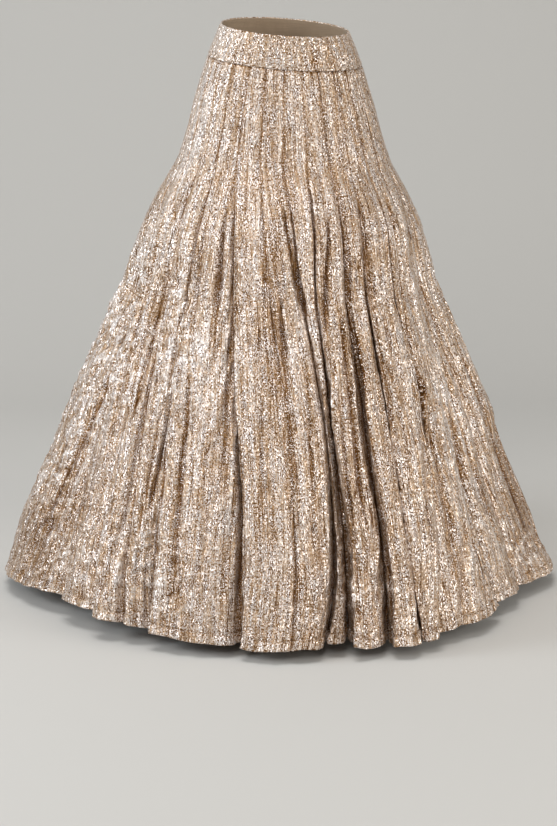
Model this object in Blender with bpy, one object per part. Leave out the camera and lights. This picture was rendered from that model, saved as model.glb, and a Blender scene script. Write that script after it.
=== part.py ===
"""Lehenga skirt, worn: a stiffened waistband over 28 long gores (kalis).

Metres, +Z up, the front facing -Y. The origin is the middle of the waist opening,
half way up the waistband, where the wearer holds the skirt up.

The gores are joined smoothly round the hips. Below the release line they flare,
and each seam line runs down a groove between two lobes of cloth. An angle round
the skirt is 0 at the front, 90 at +X, 180 at the back.
"""
import math

import bmesh
import bpy
from mathutils import Vector

# Wall thicknesses, the band's rounded top edge, and the gap that parts two pieces.
CLOTH = 0.0020
BAND_CLOTH = 0.0030
EDGE_ROUND = 0.0030
EDGE_INSET = 0.0006
SEAM_GAP = 0.0003

# The gores: how many, and the angle of the seam that is numbered 0.
GORES = 28
FIRST_SEAM = -1.3
STEP = 360.0 / GORES

# Heights of the waistband, the release line, the folds' middle row and the hem.
BAND_TOP = 0.030
BAND_SEAM = -0.031
RELEASE = -0.205
MIDDLE = -0.580
HEM = -1.035

# The hips stand on one leg: the waist rolls down towards +X and dips in front.
ROLL = 0.070
FRONT_DIP = 0.010
LEVEL_FROM = -0.42

# The hem's centre lies a little to the side of the waist's.
HEM_SHIFT = -0.013
SHIFT_END = 0.35

# A seam's own dent at the hips, a lobe's roundness, the part of the flare in which
# the folds begin, and the power by which they deepen and by which the hem lifts.
SEAM_DIP = 0.0012
LOBE_BULGE = 0.012
FOLD_START = 0.15
FOLD_POWER = 0.8
LIFT_POWER = 3

# A groove's half width in degrees at its top and at the hem, and the most of a
# gore's width that it takes. The points of a gore's flanks lie at these parts of it.
GROOVE_TOP = 2.2
GROOVE_HEM = 1.2
WIDEST_REACH = 0.36
FLANK_POINTS = (0.5, 1.1)

# The waistband's columns of points, and the flat hook plate inside its opening at
# +X, which spans one of them on each side.
BAND_COLUMNS = 28
HOOK_HEIGHT = 0.012
HOOK_THICK = 0.0012

# Sections of the skirt from the waist down, in metres: height, half width, front
# depth and back depth.
PROFILE = (
    (0.045, 0.115, 0.085, 0.084),
    (0.030, 0.120, 0.088, 0.088),
    (-0.031, 0.145, 0.103, 0.108),
    (-0.107, 0.169, 0.119, 0.136),
    (-0.165, 0.184, 0.132, 0.154),
    (-0.220, 0.202, 0.150, 0.173),
    (-0.277, 0.233, 0.186, 0.206),
    (-0.334, 0.258, 0.215, 0.233),
    (-0.450, 0.291, 0.258, 0.271),
    (-0.626, 0.367, 0.338, 0.347),
    (-0.805, 0.434, 0.408, 0.415),
    (-0.926, 0.484, 0.453, 0.460),
    (-1.035, 0.517, 0.484, 0.490),
)

# One row for each seam and the gore on its +angle side. middle and hem are the
# seam's angle at those heights. groove is how deep the fold there goes at the
# hem, and lean how far its bottom slants under the next lobe, as a part of that
# depth. left and right are how far the gore's two shoulders stand out at the
# hem, and lift is how far the hem rises at the seam.
FOLD_COLUMNS = ("middle", "hem", "groove", "lean", "left", "right", "lift")
FOLDS = {
    -7: (-92.0, -94.0, 0.010, 0.0, 0.022, -0.068, 0.003),
    -6: (-70.0, -60.0, 0.035, 0.0, -0.050, -0.055, 0.018),
    -5: (-54.0, -45.0, 0.040, 0.1, -0.028, -0.040, 0.014),
    -4: (-45.0, -37.0, 0.008, 0.1, -0.040, -0.055, 0.009),
    -3: (-35.5, -29.0, 0.055, 0.2, -0.022, -0.032, 0.003),
    -2: (-14.0, -8.5, 0.060, 0.4, -0.015, 0.004, 0.000),
    -1: (1.0, 2.0, 0.006, 0.4, 0.004, -0.028, 0.000),
    0: (12.0, 10.0, 0.065, 0.4, -0.035, -0.035, 0.000),
    1: (14.8, 14.8, 0.050, 0.6, 0.005, -0.008, 0.000),
    2: (24.5, 22.5, 0.055, 0.8, 0.015, 0.013, 0.000),
    3: (31.5, 29.0, 0.058, 0.9, 0.000, 0.005, 0.000),
    4: (46.0, 34.0, 0.060, 0.9, -0.015, -0.035, 0.000),
    5: (59.0, 58.5, 0.035, 0.1, -0.058, -0.045, 0.006),
    6: (76.0, 77.0, 0.008, 0.0, -0.040, 0.026, 0.006),
    7: (93.0, 96.0, 0.010, 0.0, 0.030, -0.012, 0.002),
    8: (104.0, 106.0, 0.044, -0.2, -0.012, -0.016, 0.004),
    9: (114.0, 114.5, 0.048, -0.4, 0.002, -0.020, 0.007),
    10: (129.0, 133.0, 0.038, -0.3, -0.030, -0.020, 0.008),
    11: (138.5, 138.5, 0.055, 0.2, 0.000, -0.016, 0.006),
    12: (151.0, 149.0, 0.050, 0.5, -0.012, -0.004, 0.003),
    13: (169.0, 172.0, 0.024, 0.4, -0.006, 0.000, 0.000),
    14: (178.0, 177.5, 0.055, 0.3, 0.006, -0.006, 0.000),
    15: (193.5, 197.0, 0.042, 0.0, -0.012, -0.006, 0.002),
    16: (203.0, 203.0, 0.055, -0.4, 0.004, -0.018, 0.004),
    17: (217.0, 217.0, 0.016, -0.4, -0.020, -0.024, 0.007),
    18: (233.0, 236.0, 0.050, -0.2, -0.008, -0.022, 0.008),
    19: (242.5, 242.5, 0.055, 0.0, -0.004, -0.016, 0.006),
    20: (254.0, 252.0, 0.048, 0.2, -0.014, 0.018, 0.004),
}
FIRST_ROW = min(FOLDS)

# Small steps, in metres and radians, that measure how a face slopes, and the angle
# in degrees past which an edge is drawn sharp.
SLOPE_STEP = 0.002
TURN_STEP = 0.01
SHARP_EDGE = 50.0

# Heights of the rows of points down a gore.
GORE_ROWS = (
    -0.031, -0.090, -0.150, -0.205, -0.245, -0.300, -0.370,
    -0.460, -0.570, -0.690, -0.810, -0.915, -0.985, -1.035,
)


def smooth(t):
    """Goes from 0 to 1 with soft ends."""
    t = min(1.0, max(0.0, t))
    return t * t * (3.0 - 2.0 * t)


def section(z):
    """Half width, front depth and back depth of the skirt at a height."""
    rows = PROFILE
    for upper, lower in zip(rows, rows[1:]):
        if z >= lower[0] or lower is rows[-1]:
            t = (z - upper[0]) / (lower[0] - upper[0])
            return [a + (b - a) * t for a, b in zip(upper[1:], lower[1:])]
    return list(rows[-1][1:])


def fold(seam, column):
    """One value of the fold table, for a seam counted on past a full turn."""
    row = FIRST_ROW + (seam - FIRST_ROW) % GORES
    return FOLDS[row][FOLD_COLUMNS.index(column)]


def flare(z):
    """0 at the release line and above, 1 at the hem."""
    return min(1.0, max(0.0, (RELEASE - z) / (RELEASE - HEM)))


def seam_angle(seam, z):
    """The angle of a seam line: a curve through its hip, middle and hem angles."""
    turns = (seam - FIRST_ROW) // GORES
    hip = FIRST_SEAM + STEP * seam
    middle = fold(seam, "middle") + 360.0 * turns
    hem = fold(seam, "hem") + 360.0 * turns
    m = flare(MIDDLE)
    v = flare(z)
    return (hip * (v - m) * (v - 1.0) / m
            + middle * v * (v - 1.0) / (m * (m - 1.0))
            + hem * v * (v - m) / (1.0 - m))


def shoulder_line(gore, s, z):
    """How far a gore stands out between its grooves."""
    across = fold(gore, "left") * (1.0 - s) + fold(gore, "right") * s
    return flare(z) * (across + LOBE_BULGE * math.sin(math.pi * s))


def groove_depth(seam, z):
    """How deep the fold at a seam goes."""
    v = flare(z)
    return SEAM_DIP + fold(seam, "groove") * smooth(v / FOLD_START) * v ** FOLD_POWER


def groove_bottom(seam, z):
    """How far out the bottom of a seam's groove lies."""
    nearest = min(fold(seam - 1, "right"), fold(seam, "left"))
    return flare(z) * nearest - groove_depth(seam, z)


def groove_reach(gore, z):
    """The part of a gore's width that one of its grooves takes."""
    width = seam_angle(gore + 1, z) - seam_angle(gore, z)
    half = GROOVE_TOP + (GROOVE_HEM - GROOVE_TOP) * flare(z)
    return min(WIDEST_REACH, half / width)


def ring_point(angle, out, z):
    """A point at an angle and a height, moved out from the plain section."""
    half_width, front, back = section(z)
    blend = 0.5 + 0.5 * math.cos(angle)
    depth = back + (front - back) * smooth(blend)
    level = smooth((z - LEVEL_FROM) / (BAND_SEAM - LEVEL_FROM))
    x = (half_width + out) * math.sin(angle)
    y = -(depth + out) * math.cos(angle)
    tilt = level * (ROLL * x + FRONT_DIP * math.cos(angle))
    shift = HEM_SHIFT * smooth(flare(z) / SHIFT_END)
    return Vector((x + shift, y, z - tilt))


def cloth_point(u, z):
    """The outer face of the gores: u counts gores round the skirt."""
    gore = math.floor(u)
    s = u - gore
    angle = seam_angle(gore, z) * (1.0 - s) + seam_angle(gore + 1, z) * s
    reach = groove_reach(gore, z)
    lobe = shoulder_line(gore, s, z)
    near, away = (gore, s) if s < 0.5 else (gore + 1, 1.0 - s)
    sink = math.cos(0.5 * math.pi * min(1.0, away / reach)) ** 2
    drop = sink * (lobe - groove_bottom(near, z))
    half_width, front, back = section(z)
    turn = math.radians(angle)
    length = math.hypot(half_width * math.cos(turn), 0.5 * (front + back) * math.sin(turn))
    turn += fold(near, "lean") * sink * groove_depth(near, z) / length
    lift = fold(gore, "lift") * (1.0 - s) + fold(gore + 1, "lift") * s
    point = ring_point(turn, lobe - drop, z)
    point.z += lift * flare(z) ** LIFT_POWER
    return point


def band_point(angle, z):
    """The outer face of the waistband."""
    return ring_point(angle, 0.0, z)


def band_frame(angle, z):
    """The outward normal and the direction round the band at a point."""
    around = band_point(angle + TURN_STEP, z) - band_point(angle - TURN_STEP, z)
    down = band_point(angle, z - SLOPE_STEP) - band_point(angle, z + SLOPE_STEP)
    return down.cross(around).normalized(), around.normalized()


def cloth_material(name, colour, metallic, roughness):
    """A plain Principled material."""
    material = bpy.data.materials.new(name)
    material.use_nodes = True
    shader = material.node_tree.nodes["Principled BSDF"]
    shader.inputs["Base Color"].default_value = (*colour, 1.0)
    shader.inputs["Metallic"].default_value = metallic
    shader.inputs["Roughness"].default_value = roughness
    return material


def wall(name, columns, rows, outer, inner, material):
    """A closed wall: a grid for the outer face, extruded to the inner one."""
    mesh = bpy.data.meshes.new(name)
    bm = bmesh.new()
    bmesh.ops.create_grid(bm, x_segments=columns, y_segments=rows, size=1.0)
    grown = bmesh.ops.extrude_face_region(bm, geom=bm.faces[:], use_keep_orig=True)
    inside = {part for part in grown["geom"] if isinstance(part, bmesh.types.BMVert)}
    for vert in bm.verts:
        column = round((vert.co.x + 1.0) * 0.5 * columns)
        row = round((1.0 - vert.co.y) * 0.5 * rows)
        place = inner if vert in inside else outer
        vert.co = place(column, row)
    bmesh.ops.recalc_face_normals(bm, faces=bm.faces[:])
    bm.to_mesh(mesh)
    bm.free()
    mesh.materials.append(material)
    mesh.shade_smooth()
    mesh.set_sharp_from_angle(angle=math.radians(SHARP_EDGE))
    thing = bpy.data.objects.new(name, mesh)
    bpy.context.collection.objects.link(thing)
    return thing


def gore_columns(gore, z):
    """Where a gore's columns of points lie: close together beside its grooves."""
    near, far = [part * groove_reach(gore, z) for part in FLANK_POINTS]
    return (0.0, near, far, 0.5, 1.0 - far, 1.0 - near, 1.0)


def build_gore(gore, name, material):
    """One gore, from the waistband seam to the hem. Its wall is square to its own
    flanks, so at the bottom of a groove it parts from the next gore's inside."""
    columns = len(gore_columns(gore, HEM)) - 1

    def corner(column, row, depth):
        z = GORE_ROWS[row] - (SEAM_GAP if row == 0 else 0.0)
        places = [gore + s for s in gore_columns(gore, z)]
        u = places[column]
        before = cloth_point(places[max(column - 1, 0)], z)
        after = cloth_point(places[min(column + 1, columns)], z)
        down = cloth_point(u, z - SLOPE_STEP) - cloth_point(u, z + SLOPE_STEP)
        normal = down.cross(after - before).normalized()
        side = {0: 1.0, columns: -1.0}.get(column, 0.0)
        turn = math.radians(seam_angle(gore + (1 if column else 0), z))
        tangent = Vector((math.cos(turn), math.sin(turn), 0.0))
        return cloth_point(u, z) - normal * depth + tangent * (0.5 * SEAM_GAP * side)

    return wall(name, columns, len(GORE_ROWS) - 1,
                lambda column, row: corner(column, row, 0.0),
                lambda column, row: corner(column, row, CLOTH), material)


def build_band(name, start, end, material):
    """Half of the waistband, between two angles in degrees."""
    columns = BAND_COLUMNS
    heights = (BAND_TOP, BAND_TOP - EDGE_ROUND, 0.0, BAND_SEAM + 0.5 * SEAM_GAP)
    trim = 0.5 * SEAM_GAP

    def corner(column, row, depth):
        angle = math.radians(start + (end - start) * column / columns)
        z = heights[row]
        normal, around = band_frame(angle, z)
        side = {0: 1.0, columns: -1.0}.get(column, 0.0)
        inset = EDGE_INSET if row == 0 else 0.0
        depth = depth - inset if depth else inset
        return band_point(angle, z) - normal * depth + around * (trim * side)

    return wall(name, columns, len(heights) - 1,
                lambda column, row: corner(column, row, 0.0),
                lambda column, row: corner(column, row, BAND_CLOTH), material)


def build_hook(material):
    """The flat hook plate that holds the band's two ends together inside."""
    columns = 2
    rows = 1

    def corner(column, row, depth):
        angle = math.radians(90.0 + 180.0 / BAND_COLUMNS * (column - 1))
        z = HOOK_HEIGHT * (0.5 - row / rows)
        normal, _ = band_frame(angle, z)
        return band_point(angle, z) - normal * (BAND_CLOTH + SEAM_GAP + depth)

    return wall("waist_hook", columns, rows,
                lambda column, row: corner(column, row, 0.0),
                lambda column, row: corner(column, row, HOOK_THICK), material)


def build():
    for thing in list(bpy.data.objects):
        bpy.data.objects.remove(thing)
    tissue = cloth_material("tissue", (0.62, 0.47, 0.35), 0.75, 0.42)
    band_cloth = cloth_material("band_tissue", (0.66, 0.51, 0.40), 0.75, 0.42)
    steel = cloth_material("hook_steel", (0.55, 0.54, 0.52), 1.0, 0.35)
    build_band("waistband_front", -90.0, 90.0, band_cloth)
    build_band("waistband_back", 90.0, 270.0, band_cloth)
    build_hook(steel)
    for number in range(GORES):
        build_gore(FIRST_ROW + number, "gore_%02d" % (number + 1), tissue)


build()
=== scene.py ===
# %% [markdown]
# A worn lehenga skirt in crushed metallic tissue. A plain waistband holds 28 long
# gores, called kalis. They lie flat over the hips and flare below, where each seam
# sinks into a fold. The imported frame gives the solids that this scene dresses.

# %% Load the frame
import math

import bmesh
import bpy
import numpy as np
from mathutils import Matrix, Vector, noise


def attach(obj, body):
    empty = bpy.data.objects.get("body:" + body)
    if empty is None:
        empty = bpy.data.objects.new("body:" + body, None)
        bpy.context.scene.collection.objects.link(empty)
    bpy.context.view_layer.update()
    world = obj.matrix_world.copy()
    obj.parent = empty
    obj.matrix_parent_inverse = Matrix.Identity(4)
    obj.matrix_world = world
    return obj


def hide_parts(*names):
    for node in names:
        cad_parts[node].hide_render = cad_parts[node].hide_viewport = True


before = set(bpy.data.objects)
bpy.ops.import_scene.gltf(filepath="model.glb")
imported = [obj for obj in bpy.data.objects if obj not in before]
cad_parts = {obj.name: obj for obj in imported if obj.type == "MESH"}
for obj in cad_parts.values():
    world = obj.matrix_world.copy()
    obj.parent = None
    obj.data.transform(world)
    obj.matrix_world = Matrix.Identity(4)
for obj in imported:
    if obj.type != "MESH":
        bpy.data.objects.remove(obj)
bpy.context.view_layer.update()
print("nodes:", len(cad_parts))

# %% [markdown]
# The camera stands 4.8 m in front of the waist and looks down a little, as a
# photographer does to get a whole skirt in. A long lens keeps the hem from
# ballooning. Its values are worked out from the waist, the hem and the hem's curve.

# %% Camera
IMAGE_HEIGHT = 826
SENSOR = 36.0
FOCAL_PIXELS = 2544.0
CAMERA_PLACE = (-0.0122, -4.8, 0.389)
CAMERA_TILT = math.radians(90.0 - 12.91)

camera_data = bpy.data.cameras.new("camera")
camera_data.sensor_width = SENSOR
camera_data.lens = FOCAL_PIXELS / IMAGE_HEIGHT * SENSOR
camera = bpy.data.objects.new("camera", camera_data)
bpy.context.collection.objects.link(camera)
camera.location = CAMERA_PLACE
camera.rotation_euler = (CAMERA_TILT, 0.0, 0.0)
bpy.context.scene.camera = camera
print("lens: %.1f mm" % camera_data.lens)

# %% [markdown]
# The studio is a pale sweep: a floor that curves up into a wall, so no corner
# shows. A cool soft light stands on the left, and a warm one, almost as strong, on
# the right. One more is high in front, one hangs above, and the world adds a
# little from everywhere. The sweep's front has to face the skirt, because its
# paper can be seen through from the back.

# %% Studio
FLOOR_LEVEL = -1.058
SWEEP_FRONT = -7.0
SWEEP_START = 1.6
SWEEP_RADIUS = 1.4
SWEEP_STEPS = 24
SWEEP_TOP = 3.6
SWEEP_HALF_WIDTH = 6.0
VIEW_TRANSFORM = "Standard"
WORLD_COLOUR = (1.0, 0.97, 0.93)
WORLD_STRENGTH = 0.21

# Rows of the lights: name, place, the point it faces, size in metres, power in
# watts, and colour.
LIGHTS = (
    ("left_light", (-3.3, -1.0, 0.7), (0.0, 0.0, -0.15), 1.6, 66.0, (0.92, 0.96, 1.0)),
    ("right_light", (3.2, -1.7, 0.1), (0.0, 0.0, -0.45), 1.8, 60.0, (1.0, 0.965, 0.91)),
    ("front_light", (-0.7, -4.2, 1.9), (0.0, 0.0, -0.35), 1.6, 48.0, (1.0, 0.97, 0.94)),
    ("top_light", (-0.5, -0.5, 3.4), (-0.1, -0.5, -1.0), 2.2, 78.0, (1.0, 0.985, 0.97)),
)


def new_object(name, bm, smooth_angle=None):
    """Turns a bmesh into an object at the origin."""
    mesh = bpy.data.meshes.new(name)
    bm.to_mesh(mesh)
    bm.free()
    thing = bpy.data.objects.new(name, mesh)
    bpy.context.collection.objects.link(thing)
    if smooth_angle is not None:
        mesh.shade_smooth()
        mesh.set_sharp_from_angle(angle=math.radians(smooth_angle))
    return thing


def make_sweep():
    """The floor and wall, extruded along the sweep's curve, with their front upwards."""
    bm = bmesh.new()
    ends = [bm.verts.new((x, SWEEP_FRONT, FLOOR_LEVEL))
            for x in (-SWEEP_HALF_WIDTH, SWEEP_HALF_WIDTH)]
    edge = bm.edges.new(ends)
    route = [(SWEEP_START, FLOOR_LEVEL)]
    for step in range(1, SWEEP_STEPS + 1):
        turn = math.radians(90.0 * step / SWEEP_STEPS)
        route.append((SWEEP_START + SWEEP_RADIUS * math.sin(turn),
                      FLOOR_LEVEL + SWEEP_RADIUS * (1.0 - math.cos(turn))))
    route.append((SWEEP_START + SWEEP_RADIUS, SWEEP_TOP))
    for y, z in route:
        grown = bmesh.ops.extrude_edge_only(bm, edges=[edge])
        edge = next(part for part in grown["geom"] if isinstance(part, bmesh.types.BMEdge))
        for vert in edge.verts:
            vert.co.y = y
            vert.co.z = z
    bm.normal_update()
    if next(iter(bm.faces)).normal.z < 0.0:
        bmesh.ops.reverse_faces(bm, faces=bm.faces[:])
    return new_object("studio_sweep", bm, smooth_angle=60)


def area_light(name, place, aim, size, power, colour):
    """A square soft light that faces a point."""
    data = bpy.data.lights.new(name, "AREA")
    data.size = size
    data.energy = power
    data.color = colour
    thing = bpy.data.objects.new(name, data)
    thing.location = place
    thing.rotation_euler = (Vector(aim) - Vector(place)).to_track_quat("-Z", "Y").to_euler()
    bpy.context.collection.objects.link(thing)


sweep = make_sweep()
for row in LIGHTS:
    area_light(*row)
world = bpy.data.worlds.new("studio_world")
world.use_nodes = True
background = world.node_tree.nodes["Background"]
background.inputs["Color"].default_value = (*WORLD_COLOUR, 1.0)
background.inputs["Strength"].default_value = WORLD_STRENGTH
bpy.context.scene.world = world
bpy.context.scene.view_settings.view_transform = VIEW_TRANSFORM
print("lights:", len(LIGHTS))

# %% [markdown]
# The cut of the skirt. One table gives its sections from the waist down, and one
# gives a row for each seam: where it runs, how deep its fold goes, how the fold
# leans, and how far the gore beside it stands out at the hem. They are the same
# values as the solids have, because the cloth has to lie where the solids are. Only
# the folds are shallower and narrower here, because their bottoms are hidden, and
# each sways and deepens a little on its way down.

# %% Sizes of the skirt
GORES = 28
FIRST_SEAM = -1.3
STEP = 360.0 / GORES
BAND_TOP = 0.030
BAND_SEAM = -0.031
RELEASE = -0.205
MIDDLE = -0.580
HEM = -1.035
ROLL = 0.070
FRONT_DIP = 0.010
LEVEL_FROM = -0.42
HEM_SHIFT = -0.013
SHIFT_END = 0.35
SEAM_DIP = 0.0012
VALLEY_DEPTH = 0.012
LOBE_BULGE = 0.012
FOLD_START = 0.15
FOLD_POWER = 0.8
SHOWN_DEPTH = 0.34
DEPTH_CHANGE = 1.10
SWAY = 0.85
SWAY_LENGTH = 0.19
SWAY_SEED = 3.0
DEPTH_SEED = 9.0
SHALLOWEST = 0.25
DEEPEST = 1.4
LIFT_POWER = 3
GROOVE_TOP = 1.6
GROOVE_HEM = 0.85
WIDEST_REACH = 0.36

# Rows of the profile: height, half width, depth in front and depth behind.
PROFILE = np.array((
    (0.045, 0.115, 0.085, 0.084),
    (0.030, 0.120, 0.088, 0.088),
    (-0.031, 0.145, 0.103, 0.108),
    (-0.107, 0.169, 0.119, 0.136),
    (-0.165, 0.184, 0.132, 0.154),
    (-0.220, 0.202, 0.150, 0.173),
    (-0.277, 0.233, 0.186, 0.206),
    (-0.334, 0.258, 0.215, 0.233),
    (-0.450, 0.291, 0.258, 0.271),
    (-0.626, 0.367, 0.338, 0.347),
    (-0.805, 0.434, 0.408, 0.415),
    (-0.926, 0.484, 0.453, 0.460),
    (-1.035, 0.517, 0.484, 0.490),
))

# A row for each seam: its angles halfway down and at the hem, the depth and the lean
# of its fold, how far the gore after it stands out at its left and its right edge,
# and how far the hem lifts.
FOLD_COLUMNS = ("middle", "hem", "groove", "lean", "left", "right", "lift")
FOLDS = {
    -7: (-92.0, -94.0, 0.010, 0.0, 0.022, -0.068, 0.003),
    -6: (-70.0, -60.0, 0.035, 0.0, -0.050, -0.055, 0.018),
    -5: (-54.0, -45.0, 0.040, 0.1, -0.028, -0.040, 0.014),
    -4: (-45.0, -37.0, 0.008, 0.1, -0.040, -0.055, 0.009),
    -3: (-35.5, -29.0, 0.055, 0.2, -0.022, -0.032, 0.003),
    -2: (-14.0, -8.5, 0.060, 0.4, -0.015, 0.004, 0.000),
    -1: (1.0, 2.0, 0.006, 0.4, 0.004, -0.028, 0.000),
    0: (12.0, 10.0, 0.065, 0.4, -0.035, -0.035, 0.000),
    1: (14.8, 14.8, 0.050, 0.6, 0.005, -0.008, 0.000),
    2: (24.5, 22.5, 0.055, 0.8, 0.015, 0.013, 0.000),
    3: (31.5, 29.0, 0.058, 0.9, 0.000, 0.005, 0.000),
    4: (46.0, 34.0, 0.060, 0.9, -0.015, -0.035, 0.000),
    5: (59.0, 58.5, 0.035, 0.1, -0.058, -0.045, 0.006),
    6: (76.0, 77.0, 0.008, 0.0, -0.040, 0.026, 0.006),
    7: (93.0, 96.0, 0.010, 0.0, 0.030, -0.012, 0.002),
    8: (104.0, 106.0, 0.044, -0.2, -0.012, -0.016, 0.004),
    9: (114.0, 114.5, 0.048, -0.4, 0.002, -0.020, 0.007),
    10: (129.0, 133.0, 0.038, -0.3, -0.030, -0.020, 0.008),
    11: (138.5, 138.5, 0.055, 0.2, 0.000, -0.016, 0.006),
    12: (151.0, 149.0, 0.050, 0.5, -0.012, -0.004, 0.003),
    13: (169.0, 172.0, 0.024, 0.4, -0.006, 0.000, 0.000),
    14: (178.0, 177.5, 0.055, 0.3, 0.006, -0.006, 0.000),
    15: (193.5, 197.0, 0.042, 0.0, -0.012, -0.006, 0.002),
    16: (203.0, 203.0, 0.055, -0.4, 0.004, -0.018, 0.004),
    17: (217.0, 217.0, 0.016, -0.4, -0.020, -0.024, 0.007),
    18: (233.0, 236.0, 0.050, -0.2, -0.008, -0.022, 0.008),
    19: (242.5, 242.5, 0.055, 0.0, -0.004, -0.016, 0.006),
    20: (254.0, 252.0, 0.048, 0.2, -0.014, 0.018, 0.004),
}
FIRST_ROW = min(FOLDS)

# Places where the hem hangs a little higher: angle, half width in degrees, rise.
HEM_RISES = ((-27.0, 11.0, 0.006), (-48.0, 9.0, 0.004), (14.0, 2.5, 0.004), (43.0, 5.0, 0.003))
print("seams:", len(FOLDS), "each step", round(STEP, 2), "degrees at the hips")

# %% [markdown]
# The shape is a formula. A point of a gore has a place across it, from seam to
# seam, and a height. The section gives the plain ring at that height, the gore
# stands out of it or back from it, and near each seam it sinks into the groove.
# Numpy works out a whole gore at once.

# %% The cloth's formula
def smooth(t):
    """Goes from 0 to 1 with soft ends."""
    t = np.clip(t, 0.0, 1.0)
    return t * t * (3.0 - 2.0 * t)


def section(z):
    """Half width, front depth and back depth at each height."""
    heights = PROFILE[::-1, 0]
    return [np.interp(z, heights, PROFILE[::-1, column]) for column in (1, 2, 3)]


def fold(seam, column):
    """One value of the fold table, for a seam counted on past a full turn."""
    row = FIRST_ROW + (seam - FIRST_ROW) % GORES
    return FOLDS[row][FOLD_COLUMNS.index(column)]


def flare(z):
    """0 at the release line and above, 1 at the hem."""
    return np.clip((RELEASE - z) / (RELEASE - HEM), 0.0, 1.0)


def drift(seam, z, seed):
    """Noise down one seam, the same for the two gores that share it."""
    heights = np.linspace(HEM, BAND_SEAM, 60)
    place = (seam - FIRST_ROW) % GORES
    values = [noise.noise(Vector((7.3 * place + 0.5, h / SWAY_LENGTH, seed))) for h in heights]
    return np.interp(z, heights, values)


def seam_angle(seam, z):
    """The angle of a seam line: a curve through its hip, middle and hem angles."""
    turns = (seam - FIRST_ROW) // GORES
    hip = FIRST_SEAM + STEP * seam
    middle = fold(seam, "middle") + 360.0 * turns
    hem = fold(seam, "hem") + 360.0 * turns
    m = flare(MIDDLE)
    v = flare(z)
    sway = SWAY * smooth(v / 0.2) * drift(seam, z, SWAY_SEED)
    return (sway + hip * (v - m) * (v - 1.0) / m
            + middle * v * (v - 1.0) / (m * (m - 1.0))
            + hem * v * (v - m) / (1.0 - m))


def groove_depth(seam, z):
    """How deep the fold at a seam goes. Its bottom is hidden, so it stays shallower."""
    v = flare(z)
    change = 1.0 + DEPTH_CHANGE * drift(seam, z, DEPTH_SEED)
    shown = SHOWN_DEPTH * np.clip(change, SHALLOWEST, DEEPEST)
    return SEAM_DIP + shown * fold(seam, "groove") * smooth(v / FOLD_START) * v ** FOLD_POWER


def groove_bottom(seam, z):
    """How far out the bottom of a seam's groove lies."""
    nearest = min(fold(seam - 1, "right"), fold(seam, "left"))
    return flare(z) * nearest - groove_depth(seam, z)


def groove_reach(gore, z):
    """The part of a gore's width that one of its grooves takes."""
    width = seam_angle(gore + 1, z) - seam_angle(gore, z)
    half = GROOVE_TOP + (GROOVE_HEM - GROOVE_TOP) * flare(z)
    return np.minimum(WIDEST_REACH, half / width)


def ring_point(turn, out, z, raised):
    """Points at an angle and a height, moved out from the plain section."""
    half_width, front, back = section(z)
    depth = back + (front - back) * smooth(0.5 + 0.5 * np.cos(turn))
    level = smooth((z - LEVEL_FROM) / (BAND_SEAM - LEVEL_FROM))
    x = (half_width + out) * np.sin(turn)
    y = -(depth + out) * np.cos(turn)
    tilt = level * (ROLL * x + FRONT_DIP * np.cos(turn))
    shift = HEM_SHIFT * smooth(flare(z) / SHIFT_END)
    return np.stack([x + shift, y, raised - tilt], axis=-1)


print("half width, front and back at the hem:", [round(float(size), 3) for size in section(HEM)])

# %% [markdown]
# Each gore is a grid of points on this formula. Its columns lie closer together
# beside its seams, where the cloth turns sharply into a groove.

# %% The smooth cloth of one gore
FLANK_COLUMNS = 9
FLANK_WIDTH = 1.15


def cloth_grid(gore, across, z):
    """The smooth outer face of a gore. across runs from 0 to 1, and z down.

    It also gives each point's angle, and how far it lies down in a fold, from 0 to 1.
    """
    left = seam_angle(gore, z)
    right = seam_angle(gore + 1, z)
    angle = left * (1.0 - across) + right * across
    v = flare(z)
    stand = fold(gore, "left") * (1.0 - across) + fold(gore, "right") * across
    lobe = v * (stand + LOBE_BULGE * np.sin(math.pi * across))
    near_left = across < 0.5
    away = np.where(near_left, across, 1.0 - across)
    sink = np.cos(0.5 * math.pi * np.minimum(1.0, away / groove_reach(gore, z))) ** 2
    bottom = np.where(near_left, groove_bottom(gore, z), groove_bottom(gore + 1, z))
    depth = np.where(near_left, groove_depth(gore, z), groove_depth(gore + 1, z))
    lean = np.where(near_left, fold(gore, "lean"), fold(gore + 1, "lean"))
    half_width, front, back = section(z)
    turn = np.radians(angle)
    length = np.hypot(half_width * np.cos(turn), 0.5 * (front + back) * np.sin(turn))
    turn = turn + lean * sink * depth / length
    lift = fold(gore, "lift") * (1.0 - across) + fold(gore + 1, "lift") * across
    for middle, wide, rise in HEM_RISES:
        lift = lift + rise * np.exp(-((angle - middle) / wide) ** 2)
    valley = sink * smooth(depth / VALLEY_DEPTH)
    out = lobe - sink * (lobe - bottom)
    return ring_point(turn, out, z, z + lift * v ** LIFT_POWER), angle, valley


def gore_across(gore, z, columns):
    """Where a gore's columns lie at one height, closer together in its grooves."""
    flank = FLANK_COLUMNS
    edge = FLANK_WIDTH * float(groove_reach(gore, z))
    groove = np.linspace(0.0, edge, flank + 1)
    middle = np.linspace(edge, 1.0 - edge, columns - 2 * flank + 1)
    return np.concatenate([groove, middle[1:-1], 1.0 - groove[::-1]])


def outward(places):
    """The unit normal of a grid of points whose rows run down."""
    down = np.gradient(places, axis=0)
    along = np.gradient(places, axis=1)
    normal = np.cross(down, along)
    return normal / np.linalg.norm(normal, axis=-1, keepdims=True)


def run_length(places):
    """How far along its row each point of a grid lies, in metres."""
    steps = np.linalg.norm(np.diff(places, axis=1), axis=2)
    return np.concatenate([np.zeros((len(places), 1)), np.cumsum(steps, axis=1)], axis=1)


print("seam 0 at the hem: %.1f degrees" % seam_angle(0, HEM))

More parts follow.
